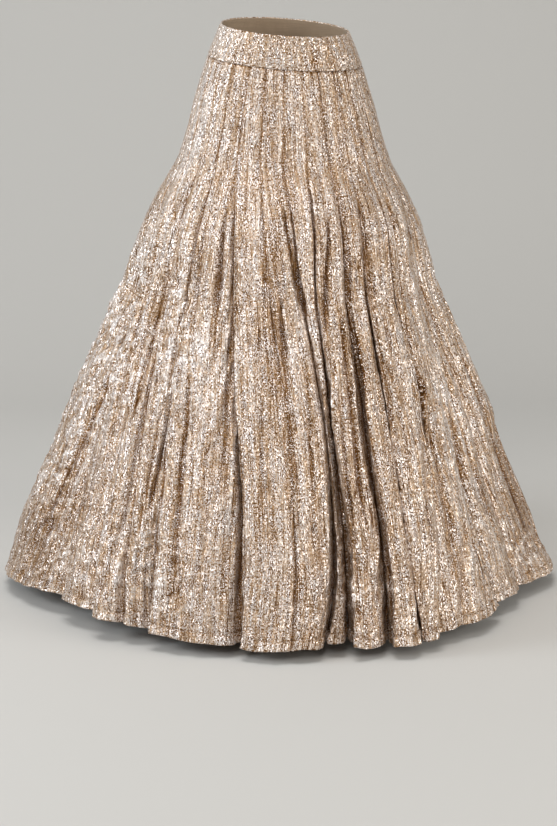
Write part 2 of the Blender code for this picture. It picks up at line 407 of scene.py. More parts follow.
# %% [markdown]
# Crushed tissue is never smooth. It has long furrows down from the hips, finer
# wrinkles between them, and short crosswise crinkles, faint everywhere and strong
# in patches where it was sat on or packed. Each is noise stretched one way or the
# other. Long creases and one hollow are laid on top. The same sum also gives a
# painted glint on the crinkles' ridges, and a second table gives broad places with
# painted sheen or painted shade. The seams hold the cloth still, so the crush dies
# out towards them.

# %% The crush
CALM_HIPS = 0.30
HIPS_END = 0.25
SEAM_HOLD = 0.006
EDGE_WAVE = 0.0050
EDGE_WAVE_LENGTH = 0.045
EDGE_WAVE_POWER = 8
BEND = 0.02
SLANT = 0.25

# Layers of crush: width and length of one wrinkle in metres, depth, how pinched
# its valleys are from 0 to 1, and how much of it is left at the hips.
CRUSH = (
    (0.048, 0.420, 0.0060, 1.0, 0.08),
    (0.022, 0.280, 0.0048, 1.0, 0.10),
    (0.011, 0.170, 0.0028, 0.8, 0.16),
    (0.012, 0.016, 0.0008, 0.0, 0.90),
)
CRINKLE_WIDE = 0.036
CRINKLE_TALL = 0.017
CRINKLE_DEPTH = 0.0068
SMALL_WIDE = 0.022
SMALL_TALL = 0.011
SMALL_SHARE = 0.35
RIDGE = 0.4
LEAST_CRINKLE = 0.22
MOST_CRINKLE = 1.2

# Patches of crosswise crinkles: angle, height, half width in degrees, half
# height in metres, and strength.
PATCHES = (
    (-62.0, -0.58, 24.0, 0.12, 0.7),
    (-94.0, -0.52, 16.0, 0.13, 0.9),
    (-72.0, -0.40, 14.0, 0.07, 0.7),
    (-46.0, -0.30, 12.0, 0.06, 0.5),
    (-40.0, -0.44, 8.0, 0.09, 0.5),
    (-30.0, -0.57, 14.0, 0.10, 0.6),
    (-7.0, -0.38, 7.0, 0.09, 0.4),
    (-84.0, -0.80, 20.0, 0.14, 0.8),
    (-62.0, -0.96, 18.0, 0.06, 0.5),
    (-24.0, -0.92, 14.0, 0.09, 0.6),
    (-40.0, -0.86, 10.0, 0.12, 0.4),
    (2.0, -0.95, 10.0, 0.06, 0.4),
    (18.0, -0.93, 8.0, 0.10, 0.6),
    (48.0, -0.66, 6.0, 0.12, 0.4),
    (68.0, -0.70, 18.0, 0.20, 0.45),
    (82.0, -0.97, 16.0, 0.07, 0.8),
    (122.0, -0.60, 20.0, 0.15, 0.7),
    (160.0, -0.38, 12.0, 0.09, 0.5),
    (185.0, -0.72, 24.0, 0.18, 0.6),
    (212.0, -0.93, 16.0, 0.08, 0.6),
    (240.0, -0.55, 22.0, 0.16, 0.8),
)

# Broad places of painted sheen, or of painted shade below zero, in the same columns.
PAINTED_SHEEN_AND_SHADE = (
    (-72.0, 0.02, 34.0, 0.30, 2.6),
    (96.0, 0.00, 22.0, 0.16, 1.2),
    (178.0, -0.10, 34.0, 0.24, 1.6),
    (-24.0, -0.50, 16.0, 0.16, 1.0),
    (64.0, -0.62, 14.0, 0.20, 1.2),
    (7.0, -0.50, 3.2, 0.13, 1.8),
    (38.5, -0.55, 2.6, 0.12, 1.4),
    (2.0, -0.08, 12.0, 0.10, 1.4),
    (-3.0, -0.46, 4.5, 0.20, -1.5),
    (27.0, -0.74, 5.0, 0.20, -0.8),
    (34.0, -0.66, 4.0, 0.22, -0.8),
    (-72.0, -0.90, 24.0, 0.16, -2.2),
    (140.0, -0.70, 10.0, 0.24, -1.4),
    (222.0, -0.60, 9.0, 0.22, -1.2),
)

# Long creases inside the lobes: angle and height at their two ends, depth in
# metres, and half width in degrees halfway, which grows on the way down.
CREASES = (
    (-27.2, -0.26, -20.5, -0.56, 0.008, 1.4),
    (-1.5, -0.26, 11.2, -0.49, 0.011, 1.2),
    (20.8, -0.26, 15.7, -0.51, 0.010, 1.1),
    (17.7, -0.20, 19.3, -0.29, 0.004, 1.2),
    (26.8, -0.25, 25.6, -0.64, 0.008, 0.9),
    (37.4, -0.24, 36.0, -0.47, 0.009, 1.2),
    (36.2, -0.42, 31.8, -0.70, 0.008, 0.9),
    (56.5, -0.25, 53.8, -0.48, 0.009, 1.2),
    (54.2, -0.42, 42.0, -0.72, 0.009, 0.9),
    (47.0, -0.27, 45.5, -0.50, 0.006, 0.9),
    (-67.8, -0.25, -52.0, -0.33, 0.006, 1.3),
    (0.2, -0.38, 4.6, -0.80, 0.008, 1.1),
    (-28.0, -0.56, -23.0, -1.00, 0.008, 1.1),
    (-33.9, -0.56, -34.9, -0.84, 0.009, 0.8),
    (-37.5, -0.60, -36.1, -0.90, 0.007, 0.7),
    (-32.0, -0.68, -29.0, -1.01, 0.008, 0.8),
    (-17.0, -0.46, -13.5, -0.80, 0.006, 1.1),
    (-5.0, -0.55, -3.5, -0.86, 0.006, 0.9),
    (9.3, -0.50, 8.2, -0.90, 0.005, 0.8),
    (22.5, -0.42, 20.5, -0.84, 0.010, 1.3),
    (17.5, -0.60, 17.0, -0.95, 0.006, 0.9),
    (50.0, -0.42, 44.0, -0.98, 0.006, 1.1),
    (65.0, -0.66, 56.0, -0.98, 0.010, 1.3),
    (68.0, -0.45, 70.0, -0.98, 0.008, 1.6),
    (84.0, -0.50, 88.0, -1.00, 0.008, 1.6),
    (-68.0, -0.45, -78.0, -1.00, 0.008, 1.7),
    (-84.0, -0.34, -90.0, -0.62, 0.007, 1.5),
    (-50.0, -0.35, -46.0, -0.70, 0.007, 1.1),
    (-104.0, -0.50, -101.0, -1.00, 0.009, 1.6),
    (120.0, -0.50, 124.0, -1.00, 0.008, 1.5),
    (158.0, -0.45, 160.0, -0.95, 0.009, 1.6),
    (186.0, -0.50, 188.0, -1.00, 0.007, 1.3),
    (198.0, -0.26, 193.0, -0.52, 0.008, 1.2),
    (210.0, -0.45, 209.0, -0.95, 0.009, 1.4),
    (224.0, -0.50, 227.0, -1.00, 0.008, 1.5),
    (247.0, -0.50, 246.0, -0.95, 0.006, 1.1),
)

# A broad hollow above the hem, in the same columns.
HOLLOWS = ((90.0, -0.70, 92.0, -1.025, 0.013, 14.0),)


def noise_field(across, down, seed):
    """Smooth noise between -1 and 1 at each point of a grid. Each use has its own seed."""
    flat = [noise.noise(Vector((a, d, seed))) for a, d in zip(across.ravel(), down.ravel())]
    return np.array(flat).reshape(across.shape)


def angle_between(angle, line):
    """The shorter way round from a line to each angle, in degrees."""
    return (angle - line + 180.0) % 360.0 - 180.0


def spots(rows, angle, z):
    """The sum of soft round spots at each point."""
    total = np.zeros_like(z)
    for middle, height, wide, tall, strength in rows:
        turn = angle_between(angle, middle) / wide
        total += strength * np.exp(-turn ** 2 - ((z - height) / tall) ** 2)
    return total


def patch_strength(angle, z):
    """How crinkled the cloth is at each point."""
    return np.clip(spots(PATCHES, angle, z), LEAST_CRINKLE, MOST_CRINKLE)


def crease_depth(rows, angle, z, width=1.0):
    """How far long creases or hollows press the cloth in. width scales all of them."""
    total = np.zeros_like(z)
    for angle_a, height_a, angle_b, height_b, depth, wide in rows:
        t = (z - height_a) / (height_b - height_a)
        reach = width * wide * (0.5 + np.clip(t, 0.0, 1.0))
        turn = angle_between(angle, angle_a + (angle_b - angle_a) * t) / reach
        ends = smooth(t / 0.25) * smooth((1.0 - t) / 0.20)
        total += depth * ends * np.exp(-np.abs(turn) ** 1.5)
    return total


def crush(gore, arc, angle, z):
    """How far the crush moves the cloth out at each point, and where a painted glint lies on its
    ridges.

    Noise that is folded over at zero gives pinched valleys between round lobes.
    """
    hips = smooth(flare(z) / HIPS_END)
    bend = BEND * noise_field(arc * 6.0, z * 5.0, 31.0 + gore)
    total = np.zeros_like(z)
    for layer, (wide, long, depth, pinch, calm) in enumerate(CRUSH):
        grain = noise_field((arc + bend) / wide, z / long, 10.0 * layer + 3.7 * gore)
        lobes = 0.45 - 1.8 * np.abs(grain)
        share = calm + (1.0 - calm) * hips
        total += depth * share * (pinch * lobes + (1.0 - pinch) * grain)
    slant = z + 0.5 * bend - SLANT * arc
    cross = noise_field(arc / CRINKLE_WIDE + 6.0 * bend, slant / CRINKLE_TALL, 5.3 * gore)
    cross = RIDGE - 1.6 * np.abs(cross)
    cross += SMALL_SHARE * noise_field(arc / SMALL_WIDE, slant / SMALL_TALL, 7.1 * gore)
    strength = patch_strength(angle, z) * (CALM_HIPS + (1.0 - CALM_HIPS) * hips)
    total += CRINKLE_DEPTH * strength * cross
    total -= crease_depth(CREASES, angle, z) + crease_depth(HOLLOWS, angle, z)
    return total, strength * np.clip(cross / RIDGE, 0.0, 1.2) ** 2


print("layers of crush:", len(CRUSH), "patches:", len(PATCHES), "creases:", len(CREASES))

# %% [markdown]
# The hem is turned up 18 mm and stitched. Three layers of cloth stand a little
# proud there, the stitches pull the line in, and slanting drag lines run up from
# it. The free edge ripples between them.

# %% The hem
HEM_TURN = 0.018
HEM_PROUD = 0.0016
HEM_STEP = 0.003
STITCH_DIP = 0.0018
STITCH_BAND = 0.0026
PUCKER_LENGTH = 0.0115
DRAG_REACH = 0.055
DRAG_DEPTH = 0.0022
DRAG_WIDE = 0.019
DRAG_LONG = 0.060


def hem_relief(arc, drop):
    """What the turned hem adds. drop is the way up from the edge."""
    line = np.exp(-((drop - HEM_TURN) / STITCH_BAND) ** 2)
    pucker = 0.6 + 0.4 * np.sin(arc * 2.0 * math.pi / PUCKER_LENGTH)
    proud = HEM_PROUD * smooth((HEM_TURN - drop) / HEM_STEP)
    near = np.exp(-np.abs(drop - HEM_TURN) / DRAG_REACH) * (drop < 4.0 * DRAG_REACH)
    drag = noise_field((arc + 0.5 * drop) / DRAG_WIDE, drop / DRAG_LONG, 77.0)
    return proud - STITCH_DIP * line * pucker + DRAG_DEPTH * near * (0.3 - 1.6 * np.abs(drag))


print("hem turned up %.0f mm" % (1000.0 * HEM_TURN))

# %% [markdown]
# A bmesh grid becomes a gore: its points are moved to their places, and a
# Solidify modifier gives it the thickness of tissue with its lining. Its UV map is
# the flat cut in metres, so the weave and the glitter keep their real size all
# over the skirt. An attribute keeps the relief, which lightens ridges and darkens
# hollows as painted highlight and painted shade. More painted light comes on top:
# painted sheen on crinkled patches, painted glints and broad painted sheen raise
# the value, and painted shade in creases, seams, the stitch line, the band's edge
# and fold valleys lowers it, as do the broad places of painted shade.

# %% Build the gores
CLOTH = 0.0016
COLUMN_WIDTH = 0.0036
FEWEST_COLUMNS = 34
MOST_COLUMNS = 58
GORE_ROWS = 162
HEM_ROWS = 14
HEM_ZONE = 0.030
TOP_GAP = 0.0004
TOP_HOLD = 0.012
TUCK = 0.0008
TUCK_REACH = 0.005
# Painted light: metres of relief per step of painted highlight or shade, and the strengths of
# painted sheen, painted glints and painted shade.
RELIEF_SCALE = 0.005
PATCH_PAINTED_SHEEN = 0.8
PATCH_FROM = 0.4
PAINTED_GLINT = 5.6
CREASE_PAINTED_SHADE = 4.0
CREASE_TYPICAL = 0.009
CREASE_CORE = 0.55
CREASE_MOST = 1.2
LINE_SHADE = 1.8
LINE_WIDTH = 0.0028
SEAM_SHADE = 2.4
SEAM_WIDTH = 0.0030
BAND_EDGE_WIDTH = 0.0035
VALLEY_SHADE = 3.2
UV_STEP = 0.5


def gore_heights():
    """The heights of a gore's rows, which lie closer together at the hem."""
    upper = np.linspace(BAND_SEAM - TOP_GAP, HEM + HEM_ZONE, GORE_ROWS + 1)
    lower = np.linspace(HEM + HEM_ZONE, HEM, HEM_ROWS + 1)
    return np.concatenate([upper[:-1], lower])


def shell(name, places, flat, relief):
    """A grid moved to its places, with its flat cut as UV map and its relief."""
    rows, columns = places.shape[0] - 1, places.shape[1] - 1
    bm = bmesh.new()
    bmesh.ops.create_grid(bm, x_segments=columns, y_segments=rows, size=1.0)
    cut_layer = bm.loops.layers.uv.new("flat_cut")
    relief_layer = bm.verts.layers.float.new("relief")
    where = {}
    for vert in bm.verts:
        row = round((1.0 - vert.co.y) * 0.5 * rows)
        column = round((vert.co.x + 1.0) * 0.5 * columns)
        where[vert] = (row, column)
    for vert, spot in where.items():
        vert.co = places[spot]
        vert[relief_layer] = relief[spot]
    for face in bm.faces:
        for loop in face.loops:
            loop[cut_layer].uv = flat[where[loop.vert]]
    return new_object(name, bm, smooth_angle=180)


def add_wall(thing, thickness, inner_slot=0):
    """Gives a shell its thickness, inwards. The inner face can have another material."""
    wall = thing.modifiers.new("wall", "SOLIDIFY")
    wall.thickness = thickness
    wall.offset = -1.0
    wall.use_even_offset = False
    wall.use_quality_normals = True
    wall.material_offset = inner_slot


def painted_light_of(z, angle, from_seam, valley, painted_glint):
    """The painted light and shade of each point of a gore, apart from its relief."""
    # Painted sheen on crinkled patches, and painted glints on the crinkles' ridges.
    painted_light = PATCH_PAINTED_SHEEN * np.clip(patch_strength(angle, z) - PATCH_FROM, 0.0, 1.0) + PAINTED_GLINT * painted_glint
    # Broad places of painted sheen and painted shade.
    painted_light = painted_light + spots(PAINTED_SHEEN_AND_SHADE, angle, z)
    # Painted shade in the long creases.
    pressed = crease_depth(CREASES, angle, z, width=CREASE_CORE) / CREASE_TYPICAL
    painted_light = painted_light - CREASE_PAINTED_SHADE * np.minimum(CREASE_MOST, pressed)
    # Painted shade along the hem's stitch line, along the seams and under the waistband's edge.
    painted_light = painted_light - LINE_SHADE * np.exp(-((z - HEM - HEM_TURN) / LINE_WIDTH) ** 2)
    painted_light = painted_light - SEAM_SHADE * np.exp(-(from_seam / SEAM_WIDTH) ** 2)
    painted_light = painted_light - SEAM_SHADE * np.exp(-((BAND_SEAM - z) / BAND_EDGE_WIDTH) ** 2)
    # Painted shade down the fold valleys.
    return painted_light - VALLEY_SHADE * valley


def build_gore(gore, number):
    """One gore of the skirt, its width at each height and its line of hem stitches."""
    heights = gore_heights()
    hem_row = gore_across(gore, HEM, FEWEST_COLUMNS)[None, :]
    hem_arc = run_length(cloth_grid(gore, hem_row, np.full_like(hem_row, HEM))[0])[0, -1]
    columns = int(np.clip(hem_arc / COLUMN_WIDTH, FEWEST_COLUMNS, MOST_COLUMNS))
    z = np.repeat(heights[:, None], columns + 1, axis=1)
    across = np.stack([gore_across(gore, height, columns) for height in heights])
    smooth_places, angle, valley = cloth_grid(gore, across, z)
    arc = run_length(smooth_places)
    from_seam = np.minimum(arc, arc[:, -1:] - arc)
    hold = 1.0 - np.exp(-(from_seam / SEAM_HOLD) ** 2)
    crushed, painted_glint = crush(gore, arc, angle, z)
    relief = crushed * hold
    top_hold = smooth((BAND_SEAM - z) / TOP_HOLD)
    relief = relief * top_hold + hem_relief(arc + number, z - HEM)
    relief = relief - TUCK * np.exp(-((BAND_SEAM - z) / TUCK_REACH) ** 2)
    places = smooth_places + outward(smooth_places) * relief[..., None]
    ripple = noise_field(arc / EDGE_WAVE_LENGTH, z * 3.0, 60.0 + gore)
    places[..., 2] += ripple * EDGE_WAVE * flare(z) ** EDGE_WAVE_POWER * hold
    painted_light = painted_light_of(z, angle, from_seam, valley, painted_glint)
    flat = np.stack([arc - 0.5 * arc[:, -1:] + UV_STEP * number, z], axis=-1)
    # The attribute holds the relief, which lightens ridges and darkens hollows as painted highlight
    # and shade, with the painted light on top.
    piece = shell("kali_%02d" % number, places, flat, relief / RELIEF_SCALE + painted_light)
    add_wall(piece, CLOTH)
    hem_line = np.abs(heights - HEM - HEM_TURN).argmin()
    return piece, arc[:, -1], places[hem_line]


kalis = []
hem_lines = []
for number in range(1, GORES + 1):
    kali, widths, hem_line = build_gore(FIRST_ROW + number - 1, number)
    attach(kali, "root")
    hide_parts("gore_%02d" % number)
    kalis.append(kali)
    hem_lines.append(hem_line)
    print(kali.name, "hem width %.3f m, waist width %.3f m" % (widths[-1], widths[0]))

# %% [markdown]
# The waistband is two straight strips, front and back, seamed at the sides. It is
# stiffer and thicker than the gores, so it only ripples a little. Its edges roll in,
# and a line of topstitching pulls a shallow groove near each of them.

# %% Build the waistband
BAND_CLOTH = 0.0028
BAND_SEGMENTS = 150
BAND_ROWS = 30
BAND_PROUD = 0.0004
BAND_RADIUS = 0.12
BAND_RIPPLE = 0.0008
SMALL_RIPPLE = 0.45
EDGE_ROLL = 0.0012
ROLL_REACH = 0.04
BAND_STITCH_LINES = (0.10, 0.91)
BAND_GROOVE = 0.0007
GROOVE_HALF = 0.035


def band_places(turn, t):
    """Points of the waistband and their relief. t runs down it from 0 to 1."""
    z = BAND_TOP + (BAND_SEAM - BAND_TOP) * t
    edge = np.minimum(t, 1.0 - t)
    roll = EDGE_ROLL * np.exp(-(edge / ROLL_REACH) ** 2)
    for line in BAND_STITCH_LINES:
        roll = roll + BAND_GROOVE * np.exp(-((t - line) / GROOVE_HALF) ** 2)
    ripple = BAND_RIPPLE * noise_field(turn * 9.0, z * 30.0, 21.0)
    ripple = ripple + SMALL_RIPPLE * BAND_RIPPLE * noise_field(turn * 34.0, z * 60.0, 23.0)
    return ring_point(turn, BAND_PROUD + ripple - roll, z, z), ripple - roll


def build_band(name, start, end):
    """Half of the waistband, between two angles in degrees."""
    angles = np.linspace(start, end, BAND_SEGMENTS + 1)
    turn, t = np.meshgrid(np.radians(angles), np.linspace(0.0, 1.0, BAND_ROWS + 1))
    places, relief = band_places(turn, t)
    flat = np.stack([turn * BAND_RADIUS, places[..., 2]], axis=-1)
    # The band gets the broad painted sheen and shade on top of its relief.
    band_painted_sheen = spots(PAINTED_SHEEN_AND_SHADE, np.degrees(turn), places[..., 2])
    piece = shell(name, places, flat, relief / RELIEF_SCALE + band_painted_sheen)
    add_wall(piece, BAND_CLOTH, inner_slot=1)
    return piece


bands = []
for name, node, start, end in (("band_front", "waistband_front", -90.0, 90.0),
                               ("band_back", "waistband_back", 90.0, 270.0)):
    band = build_band(name, start, end)
    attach(band, "root")
    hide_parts(node)
    bands.append(band)

# %% [markdown]
# The stitches are real. Each is a small flat box of four rings of points, with its
# long side along the line. The two lines of the waistband are one object and the
# hem's line is another. Every stitch sinks a little at its ends, into the needle
# holes.

# %% The stitches
STITCH_LENGTH = 0.0034
STITCH_PITCH = 0.0050
THREAD = 0.0007
STITCH_PROUD = 0.0005

# A stitch's rings: the place along it from -1 to 1, and how far it sinks.
STITCH_SECTIONS = ((-1.0, 1.0), (-0.6, 0.0), (0.6, 0.0), (1.0, 1.0))


def along_line(line, pitch):
    """Points at even steps along a line of points, and the way it runs there."""
    steps = np.linalg.norm(np.diff(line, axis=0), axis=1)
    reach = np.concatenate([[0.0], np.cumsum(steps)])
    marks = np.arange(0.5 * pitch, reach[-1], pitch)
    ahead = np.minimum(marks + 0.3 * pitch, reach[-1])
    places = np.stack([np.interp(marks, reach, line[:, axis]) for axis in range(3)], axis=-1)
    tips = np.stack([np.interp(ahead, reach, line[:, axis]) for axis in range(3)], axis=-1)
    return places, tips - places


def add_stitch(bm, spot, way):
    """One stitch: a flat box with its ends pressed in."""
    along = Vector(way).normalized()
    out = Vector((spot[0], spot[1], 0.0)).normalized()
    up = out.cross(along).normalized()
    out = along.cross(up).normalized()
    middle = Vector(spot) + out * STITCH_PROUD
    half = 0.5 * STITCH_LENGTH
    rings = []
    for share, sink in STITCH_SECTIONS:
        centre = middle + along * (half * share) - out * (STITCH_PROUD * sink)
        ring = [bm.verts.new(centre + up * (0.5 * THREAD * a) + out * (0.5 * THREAD * b))
                for a, b in ((-1, -1), (1, -1), (1, 1), (-1, 1))]
        rings.append(ring)
    for first, second in zip(rings, rings[1:]):
        for index in range(4):
            after = (index + 1) % 4
            bm.faces.new((first[index], first[after], second[after], second[index]))
    bm.faces.new(rings[0][::-1])
    bm.faces.new(rings[-1])


def build_stitches(name, lines):
    """All the stitches along some lines, as one piece."""
    bm = bmesh.new()
    for line in lines:
        for spot, way in zip(*along_line(line, STITCH_PITCH)):
            add_stitch(bm, spot, way)
    bmesh.ops.recalc_face_normals(bm, faces=bm.faces[:])
    print(name, "faces:", len(bm.faces))
    thing = new_object(name, bm, smooth_angle=60)
    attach(thing, "root")
    return thing


around = np.radians(np.linspace(-90.0, 270.0, 721))
band_lines = [band_places(around, np.full_like(around, line))[0] for line in BAND_STITCH_LINES]
band_stitches = build_stitches("band_stitches", band_lines)
hem_stitches = build_stitches("hem_stitches", hem_lines)

# %% [markdown]
# The finish. Metallic tissue is woven from flat metal strips, and each is a tiny
# mirror, so from a step away the cloth is a tan ground with white flecks and brown
# grains. The group foil_grain makes both from the flat cut, in cells of about 2 by
# 3 mm. A fleck fills the middle of its cell and the grains lie between the cells.
# The tone mixes random tone with painted light and shade: the relief, painted
# sheen and painted glints lighten or darken it, and fine creases darken it as
# painted shade. Flecks are larger where it is high, on ridges and in patches with
# painted sheen, and grains start sooner where it is low. A busy noise makes some
# places rich in both and others plain. The group also tilts the normal of each cell
# a little, and gives fine ribs down the cloth as a height.

# %% The grain of foil
# Width and length in metres of the cells and of each noise.
FLECK = (0.0019, 0.0033)
BUSY = (0.009, 0.050)
FINE_RIB = (0.0019, 0.110)
RIB = (0.0062, 0.340)
PATCH = (0.018, 0.400)
CREASE_LINE = (0.030, 0.260)
CREASE_SPOT = (0.050, 0.090)

# Fine creases run where a noise is near zero, and fade in and out with another. They press the
# height in and darken the tone as painted shade.
CREASE_HALF = 0.018
CREASE_FADE = (-0.05, 0.12)
CREASE_HEIGHT = -0.6
FLECK_JITTER = 0.9
FLECK_SPREAD = 0.24
BUSY_SHARE = 0.42
CELL_TILT = 0.80

# What the tone is made of: random patches and ribs, the relief with the painted light and shade of
# the attribute, and fine creases as painted shade.
PATCH_SHARE = 0.30
RIB_SHARE = 0.36
FINE_RIB_SHARE = 0.64
PAINTED_LIGHT_SHARE = 0.070
FINE_CREASE_PAINTED_SHADE = 0.30

# How far a fleck reaches from the middle of its cell, and where the grains start,
# at the lower and the upper of two tones.
TONES = (0.2, 0.8)
FLECKS = (0.02, 0.28)
GRAINS = (0.32, 0.45)


def new_node(tree, kind, **settings):
    """A node with its settings."""
    node = tree.nodes.new(kind)
    for key, value in settings.items():
        setattr(node, key, value)
    return node


def plug(tree, node, values):
    """Links or sets the inputs of a node, by name or number."""
    for key, value in values.items():
        if isinstance(value, bpy.types.NodeSocket):
            tree.links.new(value, node.inputs[key])
        else:
            node.inputs[key].default_value = value
    return node.outputs[0]


def calc(tree, operation, first, second, third=0.0):
    """One Math node."""
    node = new_node(tree, "ShaderNodeMath", operation=operation)
    values = {0: first, 1: second}
    if operation == "MULTIPLY_ADD":
        values[2] = third
    return plug(tree, node, values)


def vector_calc(tree, operation, first, second):
    """One Vector Math node."""
    node = new_node(tree, "ShaderNodeVectorMath", operation=operation)
    return plug(tree, node, {0: first, 1: second})


def make_foil_grain():
    """Tone, flecks, grains and ribs of the tissue, from its flat cut in metres."""
    group = bpy.data.node_groups.new("foil_grain", "ShaderNodeTree")
    for name, kind in (("Flat cut", "NodeSocketVector"), ("Facing", "NodeSocketVector"),
                       ("Painted_light_and_shade", "NodeSocketFloat")):
        group.interface.new_socket(name=name, in_out="INPUT", socket_type=kind)
    for name, kind in (("Tone", "NodeSocketFloat"), ("Fleck", "NodeSocketFloat"),
                       ("Grain", "NodeSocketFloat"), ("Height", "NodeSocketFloat"),
                       ("Tilted", "NodeSocketVector")):
        group.interface.new_socket(name=name, in_out="OUTPUT", socket_type=kind)
    start = group.nodes.new("NodeGroupInput")
    end = group.nodes.new("NodeGroupOutput")
    flat_cut = start.outputs["Flat cut"]

    def sized(size):
        """The flat cut, counted in steps of a width and a length."""
        return vector_calc(group, "DIVIDE", flat_cut, (size[0], size[1], 1.0))

    def cells(size):
        """Cells with a colour and a value of their own, and the way to their middles."""
        node = new_node(group, "ShaderNodeTexVoronoi", voronoi_dimensions="2D", distance="CHEBYCHEV")
        plug(group, node, {"Vector": sized(size), "Scale": 1.0, "Randomness": FLECK_JITTER})
        value = plug(group, new_node(group, "ShaderNodeSeparateColor"), {0: node.outputs["Color"]})
        return node.outputs["Color"], value, node.outputs["Distance"]

    def cloud(size, detail):
        """Soft noise round zero."""
        node = new_node(group, "ShaderNodeTexNoise", noise_dimensions="2D")
        value = plug(group, node, {"Vector": sized(size), "Scale": 1.0, "Detail": detail})
        return calc(group, "SUBTRACT", value, 0.5)

    def mapped(value, start_in, end_in, start_out, end_out, kind="LINEAR"):
        """A value taken from one range to another."""
        node = new_node(group, "ShaderNodeMapRange", interpolation_type=kind)
        return plug(group, node, {"Value": value, "From Min": start_in, "From Max": end_in,
                                  "To Min": start_out, "To Max": end_out})

    rib = cloud(RIB, 1.0)
    fine_rib = cloud(FINE_RIB, 1.0)
    from_line = calc(group, "ABSOLUTE", cloud(CREASE_LINE, 2.5), 0.0)
    crease = mapped(from_line, CREASE_HALF, 0.0, 0.0, 1.0, "SMOOTHSTEP")
    crease_part = mapped(cloud(CREASE_SPOT, 1.0), *CREASE_FADE, 0.0, 1.0)
    crease = calc(group, "MULTIPLY", crease, crease_part)
    tone = calc(group, "MULTIPLY_ADD", cloud(PATCH, 2.0), PATCH_SHARE, 0.5)
    tone = calc(group, "MULTIPLY_ADD", rib, RIB_SHARE, tone)
    tone = calc(group, "MULTIPLY_ADD", fine_rib, FINE_RIB_SHARE, tone)
    # The attribute's relief and painted light and shade shift the tone.
    tone = calc(group, "MULTIPLY_ADD", start.outputs["Painted_light_and_shade"], PAINTED_LIGHT_SHARE, tone)
    # Fine creases darken the tone as painted shade.
    tone = calc(group, "MULTIPLY_ADD", crease, -FINE_CREASE_PAINTED_SHADE, tone)
    fleck_colour, chance, from_middle = cells(FLECK)
    busy = cloud(BUSY, 1.0)
    fleck_size = mapped(tone, *TONES, *FLECKS)
    fleck_size = calc(group, "MULTIPLY_ADD", chance, FLECK_SPREAD, fleck_size)
    fleck_size = calc(group, "MULTIPLY_ADD", busy, BUSY_SHARE, fleck_size)
    fleck = calc(group, "LESS_THAN", from_middle, fleck_size)
    grain_start = mapped(tone, *TONES, *GRAINS)
    grain_start = calc(group, "MULTIPLY_ADD", chance, FLECK_SPREAD, grain_start)
    grain_start = calc(group, "MULTIPLY_ADD", busy, -BUSY_SHARE, grain_start)
    grain = calc(group, "GREATER_THAN", from_middle, grain_start)
    height = calc(group, "MULTIPLY_ADD", fine_rib, 0.5, rib)
    height = calc(group, "MULTIPLY_ADD", crease, CREASE_HEIGHT, height)
    centred = vector_calc(group, "SUBTRACT", fleck_colour, (0.5, 0.5, 0.5))
    tilt = vector_calc(group, "MULTIPLY", centred, (CELL_TILT,) * 3)
    tilted = vector_calc(group, "ADD", start.outputs["Facing"], tilt)
    unit = new_node(group, "ShaderNodeVectorMath", operation="NORMALIZE")
    plug(group, unit, {0: tilted})
    group.links.new(tone, end.inputs["Tone"])
    group.links.new(fleck, end.inputs["Fleck"])
    group.links.new(grain, end.inputs["Grain"])
    group.links.new(height, end.inputs["Height"])
    group.links.new(unit.outputs[0], end.inputs["Tilted"])
    return group


FOIL_GRAIN = make_foil_grain()
print("group:", FOIL_GRAIN.name)

# %% [markdown]
# Two materials use the group. A colour ramp turns the tone into brown, gold and
# rose, then the grains are mixed in as brown and the flecks as silver. Flecks are
# smoother than the ground, so they catch the lights. The thread, the waistband's
# facing, the hook and the studio's paper have simpler materials.

# %% Materials of the skirt
FLECK_COLOUR = (1.0, 0.92, 0.875)
FLECK_ROUGHNESS = -0.18
GRAIN_COLOUR = (0.130, 0.058, 0.018)
GRAIN_SHARE = 0.85
TISSUE_METAL = 0.50
TISSUE_ROUGHNESS = 0.42
TISSUE_SPECULAR = 0.08
TISSUE_BUMP = 0.0016
BAND_BUMP = 0.0008

# Ramp positions and colours of the tissue. The first two rows are the ramp's ends.
TISSUE_TONES = (
    (0.10, (0.120, 0.048, 0.012)),
    (0.88, (0.900, 0.820, 0.760)),
    (0.28, (0.285, 0.155, 0.064)),
    (0.50, (0.490, 0.330, 0.200)),
    (0.66, (0.635, 0.475, 0.345)),
)


def blend(tree, first, second, share):
    """Two colours mixed by a share from 0 to 1."""
    node = new_node(tree, "ShaderNodeMix", data_type="RGBA")
    tree.links.new(share, node.inputs[0])
    for index, value in ((6, first), (7, second)):
        if isinstance(value, bpy.types.NodeSocket):
            tree.links.new(value, node.inputs[index])
        else:
            node.inputs[index].default_value = (*value, 1.0)
    return node.outputs[2]


def new_material(name):
    """A material with nodes, its tree and its Principled shader."""
    material = bpy.data.materials.new(name)
    material.use_nodes = True
    tree = material.node_tree
    return material, tree, tree.nodes["Principled BSDF"]


def colour_ramp(tree, value, dark, light):
    """A ramp from one colour to another, as the shader's colour."""
    ramp = tree.nodes.new("ShaderNodeValToRGB")
    ramp.color_ramp.elements[0].color = (*dark, 1.0)
    ramp.color_ramp.elements[1].color = (*light, 1.0)
    plug(tree, ramp, {0: value})
    tree.links.new(ramp.outputs[0], tree.nodes["Principled BSDF"].inputs["Base Color"])


def add_bump(tree, strength, distance, height):
    """Bumps the shader's normal by a height."""
    bump = tree.nodes.new("ShaderNodeBump")
    plug(tree, bump, {"Strength": strength, "Distance": distance, "Height": height})
    tree.links.new(bump.outputs[0], tree.nodes["Principled BSDF"].inputs["Normal"])


